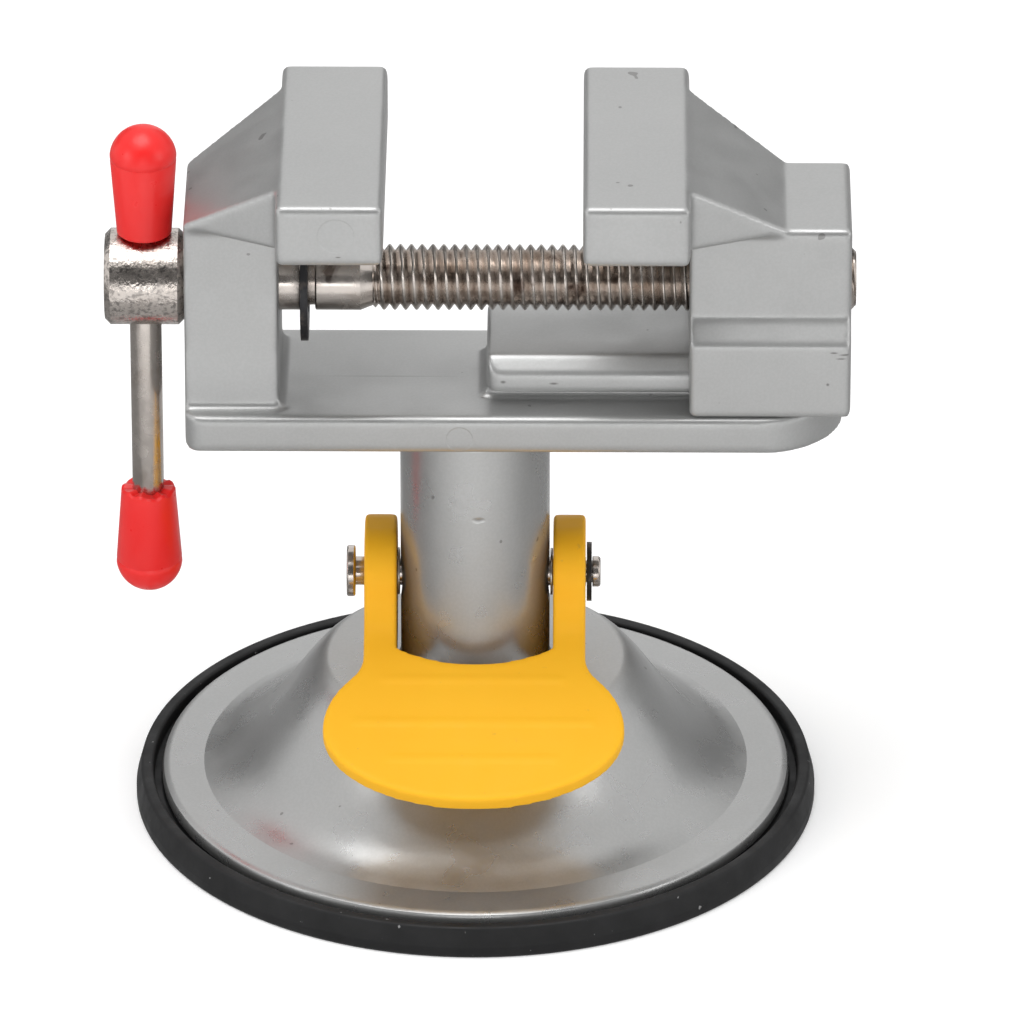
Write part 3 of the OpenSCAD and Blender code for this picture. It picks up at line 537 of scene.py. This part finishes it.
def softened(node, voxel, rounds):
    """The node's shape as a moulding: remade in small even faces and smoothed, which rounds its edges."""
    piece = bpy.data.objects.new(node + "_soft", clean_copy(node))
    bpy.context.scene.collection.objects.link(piece)
    even = piece.modifiers.new("even", "REMESH")
    even.mode = "VOXEL"
    even.voxel_size = voxel
    smooth = piece.modifiers.new("smooth", "SMOOTH")
    smooth.factor = 0.5
    smooth.iterations = rounds
    return evaluated(piece)


lever = finished("yellow_lever", softened("lever", LEVER_VOXEL, LEVER_ROUNDS), yellow_nylon("yellow nylon"),
                 "lever", smooth_deg=60)
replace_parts(lever, "lever")

# The vise body and the moving jaw are die castings in the same silver paint. The body carries the
# bed, the fixed jaw and the dovetailed rail that the moving jaw's saddle grips.
CAST_VOXEL = 0.42 * MM
CAST_ROUNDS = 8
MID_TRAVEL = Vector((-13.5 * MM, 0, 0))
RUNNING_GAP = 0.06 * MM


def kept_clear(mesh, other, shift, gap):
    """The mesh with its points moved out of the other mesh by gap, as they lie when it is shifted."""
    around = BVHTree.FromPolygons([point.co for point in other.vertices], [face.vertices for face in other.polygons])
    for point in mesh.vertices:
        near, normal, _, _ = around.find_nearest(point.co + shift, 1 * MM)
        if near is not None and (point.co + shift - near).dot(normal) < gap:
            point.co = near + gap * normal - shift
    return mesh


body_shape = softened("vise_body", CAST_VOXEL, CAST_ROUNDS)
# Smoothing fills the groove's corners under the rail, so the saddle's hooks are trimmed to fit them
jaw_shape = kept_clear(softened("moving_jaw", CAST_VOXEL, CAST_ROUNDS), body_shape, MID_TRAVEL, RUNNING_GAP)
body_paint = silver_paint(
    "silver paint, body", gloss=0.28,
    scratches=[((-12, -1, 66.2), (11.5, 0.09, 0.3)), ((10, 7.2, 73.2), (9, 0.08, 0.3)),
               ((12, -9.4, 71.2), (13, 0.3, 0.09)), ((4, -10, 70), (0.5, 0.6, 0.3)),
               ((11, -10, 69.8), (0.8, 0.6, 0.25)), ((-18.4, -22.5, 95.6), (0.5, 0.3, 0.15))],
    rings=[((-18.7, -22.5, 98.8), (2.6, 2.6, 2.6)), ((-2, -13.8, 63), (1.9, 1.9, 1.9))])
jaw_paint = silver_paint(
    "silver paint, jaw", gloss=0.28,
    scratches=[((51.2, -13.5, 76.2), (1.1, 0.4, 0.2)), ((49.6, -13.5, 76.5), (0.7, 0.4, 0.18)),
               ((50.6, -13.5, 75.6), (0.9, 0.4, 0.15)), ((44.5, -13.5, 79.2), (0.25, 0.4, 0.25)),
               ((48.8, -13.5, 71.6), (0.3, 0.4, 0.3))])
for node, mesh, body, paint in (("vise_body", body_shape, "head", body_paint),
                                ("moving_jaw", jaw_shape, "jaw", jaw_paint)):
    casting = finished("silver_" + node, mesh, paint, body, smooth_deg=70)
    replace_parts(casting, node)

# The lead screw is one rolled steel bar, nickel-plated: a plain shank with a groove for the snap
# ring, and a right-hand thread of 1.5 mm pitch. Old grease has stained the thread brown.
PITCH = 1.5 * MM
ROOT_R = 3.72 * MM
THREAD_ROWS = 10
THREAD_SIDES = 72


def thread_tree(name):
    """Geometry nodes that roll a right-hand thread along X on a grid whose rows follow the helix."""
    tree = bpy.data.node_groups.new(name, "GeometryNodeTree")
    for label, kind in (("Start", "NodeSocketFloat"), ("End", "NodeSocketFloat"), ("Pitch", "NodeSocketFloat"),
                        ("Root Radius", "NodeSocketFloat"), ("Crest Radius", "NodeSocketFloat"),
                        ("Axis Height", "NodeSocketFloat"), ("Rows", "NodeSocketInt"),
                        ("Sides", "NodeSocketInt"), ("Finish", "NodeSocketMaterial")):
        tree.interface.new_socket(label, in_out="INPUT", socket_type=kind)
    tree.interface.new_socket("Thread", in_out="OUTPUT", socket_type="NodeSocketGeometry")
    given = tree.nodes.new("NodeGroupInput")
    result = tree.nodes.new("NodeGroupOutput")
    link = tree.links.new

    def sum_of(kind, a, b=None, c=None):
        node = tree.nodes.new("ShaderNodeMath")
        node.operation = kind
        for socket, value in zip(node.inputs, (a, b, c)):
            if value is None:
                continue
            if isinstance(value, (int, float)):
                socket.default_value = value
            else:
                link(value, socket)
        return node.outputs[0]

    grid = tree.nodes.new("GeometryNodeMeshGrid")
    grid.inputs["Size X"].default_value = 1
    grid.inputs["Size Y"].default_value = 1
    link(given.outputs["Rows"], grid.inputs["Vertices X"])
    link(given.outputs["Sides"], grid.inputs["Vertices Y"])
    place = tree.nodes.new("GeometryNodeInputPosition")
    parts = tree.nodes.new("ShaderNodeSeparateXYZ")
    link(place.outputs["Position"], parts.inputs["Vector"])
    turn = sum_of("ADD", parts.outputs["Y"], 0.5)
    span = sum_of("SUBTRACT", given.outputs["End"], given.outputs["Start"])
    # Rows start a pitch before the thread and run to its end, and each row climbs a pitch in a turn
    full = sum_of("ADD", span, given.outputs["Pitch"])
    row = sum_of("MULTIPLY", sum_of("ADD", parts.outputs["X"], 0.5), full)
    ahead = sum_of("SUBTRACT", row, given.outputs["Pitch"])
    climb = sum_of("MULTIPLY", turn, given.outputs["Pitch"])
    along = sum_of("ADD", sum_of("ADD", ahead, climb), given.outputs["Start"])
    along = sum_of("MINIMUM", sum_of("MAXIMUM", along, given.outputs["Start"]), given.outputs["End"])
    wave = sum_of("PINGPONG", sum_of("DIVIDE", row, given.outputs["Pitch"]), 0.5)
    crest = sum_of("SMOOTH_MIN", sum_of("MULTIPLY", wave, 2.3), 1, 0.25)
    depth = sum_of("SUBTRACT", given.outputs["Crest Radius"], given.outputs["Root Radius"])
    radius = sum_of("ADD", given.outputs["Root Radius"], sum_of("MULTIPLY", crest, depth))
    # Both ends are chamfered down to the root
    to_end = sum_of("MINIMUM", sum_of("SUBTRACT", given.outputs["End"], along),
                    sum_of("SUBTRACT", along, given.outputs["Start"]))
    radius = sum_of("MINIMUM", radius, sum_of("ADD", given.outputs["Root Radius"], to_end))
    angle = sum_of("MULTIPLY", turn, 2 * math.pi)
    rolled = tree.nodes.new("ShaderNodeCombineXYZ")
    link(along, rolled.inputs["X"])
    link(sum_of("MULTIPLY", radius, sum_of("COSINE", angle)), rolled.inputs["Y"])
    link(sum_of("ADD", sum_of("MULTIPLY", radius, sum_of("SINE", angle)), given.outputs["Axis Height"]),
         rolled.inputs["Z"])
    move = tree.nodes.new("GeometryNodeSetPosition")
    link(grid.outputs["Mesh"], move.inputs["Geometry"])
    link(rolled.outputs["Vector"], move.inputs["Position"])
    weld = tree.nodes.new("GeometryNodeMergeByDistance")
    weld.inputs["Distance"].default_value = 0.0015 * MM
    link(move.outputs["Geometry"], weld.inputs["Geometry"])
    real = tree.nodes.new("GeometryNodeRealizeInstances")
    link(weld.outputs["Geometry"], real.inputs["Geometry"])
    coat = tree.nodes.new("GeometryNodeSetMaterial")
    link(real.outputs["Geometry"], coat.inputs["Geometry"])
    link(given.outputs["Finish"], coat.inputs["Material"])
    link(coat.outputs["Geometry"], result.inputs["Thread"])
    return tree


def joined(meshes):
    """Several meshes as one, with faces turned outwards."""
    shape = bmesh.new()
    for mesh in meshes:
        shape.from_mesh(mesh)
    bmesh.ops.recalc_face_normals(shape, faces=shape.faces)
    result = bpy.data.meshes.new("joined")
    shape.to_mesh(result)
    shape.free()
    return result


screw_low, screw_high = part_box("lead_screw")
ring_low, ring_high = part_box("screw_clip")
head_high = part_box("screw_head")[1]
screw_r = screw_high.y
screw_axis = (screw_low.z + screw_high.z) / 2
groove_r = 3.9 * MM
thread_start = ring_high.x + 8.7 * MM
ring_gap = 0.05 * MM
core_r = ROOT_R - 0.05 * MM
core_end = screw_high.x - 0.03 * MM
stained_nickel = nickel_plate("nickel plate, stained", 0.45, thread=(screw_axis, ROOT_R, screw_r))
shank = along_x(spun(rounded([
    (0, screw_low.x, 0), (screw_r * 0.6, screw_low.x, 0), (screw_r * 0.6, head_high.x, 0),
    (screw_r, head_high.x, 0), (screw_r, ring_low.x - ring_gap, 0.15 * MM), (groove_r, ring_low.x - ring_gap, 0),
    (groove_r, ring_high.x + 0.9 * MM, 0), (screw_r, ring_high.x + 0.95 * MM, 0.25 * MM),
    (screw_r, thread_start - 1.5 * MM, 0.3 * MM), (ROOT_R + 0.2 * MM, thread_start + 0.2 * MM, 0),
    (core_r, thread_start + PITCH, 0), (core_r, core_end, 0), (0, core_end, 0)]), THREAD_SIDES), screw_axis)
thread = grown(thread_tree("rolled thread"), {
    "Start": thread_start,
    "End": screw_high.x,
    "Pitch": PITCH,
    "Root Radius": ROOT_R,
    "Crest Radius": screw_r,
    "Axis Height": screw_axis,
    "Rows": int((screw_high.x - thread_start + PITCH) / PITCH * THREAD_ROWS) + 1,
    "Sides": THREAD_SIDES + 1,
    "Finish": stained_nickel,
})
screw = finished("nickel_lead_screw", joined([shank, thread]), stained_nickel, "screw")
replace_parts(screw, "lead_screw")

# The screw's head is a turned barrel, pressed on and plated together with rough peening marks under
# the plating. The handle bar slides through its cross bore.
hammered_nickel = nickel_plate("nickel plate, peened", 0.2, hammered=0.045 * MM)
head = finished("nickel_screw_head", broken_edges("screw_head", 0.45 * MM, segments=4), hammered_nickel,
                "screw")
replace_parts(head, "screw_head")

bar_low, bar_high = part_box("handle_bar")
bar_r = (bar_high.x - bar_low.x) / 2
bar_x = (bar_high.x + bar_low.x) / 2
bar = spun(rounded([(0, bar_low.z, 0), (bar_r, bar_low.z, 0.4 * MM), (bar_r, bar_high.z, 0.4 * MM),
                    (0, bar_high.z, 0)]), PIN_STEPS)
bar.transform(Matrix.Translation((bar_x, 0, 0)))
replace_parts(finished("nickel_handle_bar", bar, nickel, "handle"), "handle_bar")

# The two handle caps are soft red plastic, pushed on the bar. Each has a round end over a faint
# parting crease and narrows to its mouth, and the lower one has a little flash left at the lip.
CAP_STEPS = 72
CAP_TAPER = 0.85 * MM
BORE_SHARE = 0.7
LIP_WAVE = 0.14 * MM
WAVES_TOP = 2.7
LIP_ZONE = 0.4 * MM


def red_plastic(name):
    color = (0.82, 0.012, 0.011)
    material, tree, shader = new_finish(name, color, 0.33)
    shader.inputs["Subsurface Weight"].default_value = 0.12
    shader.inputs["Subsurface Radius"].default_value = (0.004, 0.0008, 0.0006)
    shader.inputs["Subsurface Scale"].default_value = 0.4
    pale = spread(tree, grain(tree, 110, 4), 0.5, 0.75, 0, 0.3)
    tree.links.new(stain(tree, color, (0.88, 0.045, 0.035), pale), shader.inputs["Base Color"])
    tree.links.new(spread(tree, grain(tree, 350, 3), 0.3, 0.7, 0.27, 0.42), shader.inputs["Roughness"])
    tree.links.new(relief(tree, grain(tree, 900, 2), 0.012 * MM), shader.inputs["Normal"])
    return material


red = red_plastic("soft red plastic")
for node, up in (("handle_cap_upper", 1), ("handle_cap_lower", -1)):
    low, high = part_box(node)
    cap_r = (high.x - low.x) / 2
    mouth_r = cap_r - CAP_TAPER
    length = high.z - low.z
    shoulder = length - cap_r
    dome = [(cap_r * math.cos(a), shoulder + cap_r * math.sin(a)) for a in np.linspace(0.12, math.pi / 2, 22)]
    # The crease lies where the round end meets the tapered side
    parting = [(cap_r * 0.985, shoulder - 0.35 * MM), (cap_r * 0.965, shoulder - 0.15 * MM),
               (cap_r * 0.99, shoulder + 0.2 * MM)]
    side = [(bar_r, 0), (mouth_r - 0.35 * MM, 0), (mouth_r, 0.3 * MM)]
    bore = [(0, length * BORE_SHARE), (bar_r, length * BORE_SHARE)]
    cap = spun(bore + side + parting + dome, CAP_STEPS)
    if up < 0:
        # The lower cap's lip is ragged where it was cut from its sprue, and nowhere above its mouth
        for point in cap.vertices:
            if point.co.z < LIP_ZONE:
                angle = math.atan2(point.co.y, point.co.x)
                waves = math.sin(3 * angle + 1) + math.sin(8 * angle) + 0.7 * math.sin(13 * angle + 2)
                point.co.z += LIP_WAVE * (WAVES_TOP - waves)
    turned = Matrix.Identity(4) if up > 0 else Matrix.Rotation(math.pi, 4, "X")
    cap.transform(Matrix.Translation((bar_x, 0, low.z if up > 0 else high.z)) @ turned)
    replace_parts(finished("red_" + node, cap, red, "handle"), node)

# The studio is a pale floor under a wide soft lamp from above and weaker ones at the sides and in
# front, with grey cards in front, at the back and on the floor, which only reflections show. The
# cards on the floor are painted shadow: in reflections they stand in for the shade that the object
# casts on the table around it, darker at its sides. The lens is long, from a little over a metre and
# a half away and 28 degrees above the table.
FLOOR_HALF = 6.0
FLOOR_GLOW = 0.2
FRONT_Y = -0.75
BACK_Y = 0.9
BACK_GAP = 0.24
BACK_TOP = 0.62
CARD_END = 1.4
FLOOR_END = 0.6
SIDE_CARD_Z = 0.0008
WIDE_CARD_Z = 0.0004
AIR_LIT = 0.55
AIR_SEEN = 1.0
LAMP_AIM = Vector((0, 0, 0.05))


def sheet(name, corners, material):
    """One flat face, marked as part of the studio."""
    mesh = bpy.data.meshes.new(name)
    mesh.from_pydata(corners, [], [(0, 1, 2, 3)])
    mesh.materials.append(material)
    panel = bpy.data.objects.new(name, mesh)
    bpy.context.scene.collection.objects.link(panel)
    panel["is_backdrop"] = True
    return panel


def upright(y, left, right, bottom, top):
    """Corners of an upright card across the view."""
    return [(left, y, bottom), (right, y, bottom), (right, y, top), (left, y, top)]


def lying(z, *corners):
    """Corners of a card that lies level."""
    return [(x, y, z) for x, y in corners]


def seen_rays(tree):
    """1 for what the camera sees, straight or in a gloss or through glass."""
    path = tree.nodes.new("ShaderNodeLightPath")
    seen = path.outputs["Is Camera Ray"]
    for kind in ("Is Glossy Ray", "Is Transmission Ray"):
        either = tree.nodes.new("ShaderNodeMath")
        either.operation = "MAXIMUM"
        tree.links.new(seen, either.inputs[0])
        tree.links.new(path.outputs[kind], either.inputs[1])
        seen = either.outputs[0]
    return seen


floor_paper, floor_tree, floor_shader = new_finish("white paper", (0.9, 0.9, 0.9), 0.9)
floor_shader.inputs["Emission Color"].default_value = (1, 1, 1, 1)
floor_glow = spread(floor_tree, seen_rays(floor_tree), 0, 1, 0, FLOOR_GLOW)
floor_tree.links.new(floor_glow, floor_shader.inputs["Emission Strength"])
sheet("studio_floor", lying(0, (-FLOOR_HALF, -FLOOR_HALF), (FLOOR_HALF, -FLOOR_HALF), (FLOOR_HALF, FLOOR_HALF),
                            (-FLOOR_HALF, FLOOR_HALF)), floor_paper)

FLAGS = (
    ("card_front", 0.12, upright(FRONT_Y, -CARD_END, CARD_END, 0.12, 1.05)),
    ("card_back_left", 0.18, upright(BACK_Y, -CARD_END, -BACK_GAP, 0.0, BACK_TOP)),
    ("card_back_right", 0.24, upright(BACK_Y, BACK_GAP, CARD_END, 0.0, BACK_TOP)),
    # The three floor cards are painted shadow around the object, darker at the sides, seen only in reflections
    ("floor_shadow_card_left", 0.3, lying(SIDE_CARD_Z, (-FLOOR_END, -0.06), (-0.06, -0.06), (-0.035, FLOOR_END),
                                   (-FLOOR_END, FLOOR_END))),
    ("floor_shadow_card_right", 0.38, lying(SIDE_CARD_Z, (0.06, -0.06), (FLOOR_END, -0.06), (FLOOR_END, FLOOR_END),
                                     (0.035, FLOOR_END))),
    ("floor_shadow_card_under", 0.56, lying(WIDE_CARD_Z, (-0.25, -0.122), (0.25, -0.122), (0.25, 0.5), (-0.25, 0.5))))
for name, grey, corners in FLAGS:
    card_finish, _, card_shader = new_finish(name, (0, 0, 0), 1.0)
    card_shader.inputs["Specular IOR Level"].default_value = 0
    card_shader.inputs["Emission Color"].default_value = (grey, grey, grey, 1)
    card_shader.inputs["Emission Strength"].default_value = 1
    card = sheet(name, corners, card_finish)
    card.visible_camera = False
    card.visible_diffuse = False
    card.visible_shadow = False

world = bpy.data.worlds.new("studio")
bpy.context.scene.world = world
world.use_nodes = True
air = world.node_tree
air.links.new(spread(air, seen_rays(air), 0, 1, AIR_LIT, AIR_SEEN), air.nodes["Background"].inputs["Strength"])
air.nodes["Background"].inputs["Color"].default_value = (1, 1, 1, 1)

for label, place, size, power in (
        ("lamp_over", (-0.12, -0.08, 1.2), 0.8, 7.4),
        ("lamp_left", (-1.1, -0.8, 0.5), 0.7, 3.6),
        ("lamp_right", (1.1, -0.7, 0.5), 0.7, 3.2),
        ("lamp_front", (0, -1.1, 0.16), 0.5, 1.6)):
    lamp = bpy.data.lights.new(label, "AREA")
    lamp.size = size
    lamp.energy = power
    holder = bpy.data.objects.new(label, lamp)
    holder.location = place
    holder.rotation_euler = (LAMP_AIM - Vector(place)).to_track_quat("-Z", "Y").to_euler()
    bpy.context.scene.collection.objects.link(holder)

LOOK_AT = Vector((5.16, 0, 44.3)) * MM
CAMERA_FAR = 1.68
CAMERA_UP = math.radians(28.15)
CAMERA_SIDE = math.radians(0.42)
lens = bpy.data.cameras.new("camera")
lens.sensor_width = 36
lens.lens = 421.9
lens.clip_end = 50
camera = bpy.data.objects.new("camera", lens)
towards = Vector((math.sin(CAMERA_SIDE) * math.cos(CAMERA_UP), -math.cos(CAMERA_SIDE) * math.cos(CAMERA_UP),
                  math.sin(CAMERA_UP)))
camera.location = LOOK_AT + CAMERA_FAR * towards
camera.rotation_euler = (-towards).to_track_quat("-Z", "Y").to_euler()
bpy.context.scene.collection.objects.link(camera)
bpy.context.scene.camera = camera
bpy.context.scene.view_settings.view_transform = "Standard"

low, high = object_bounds()
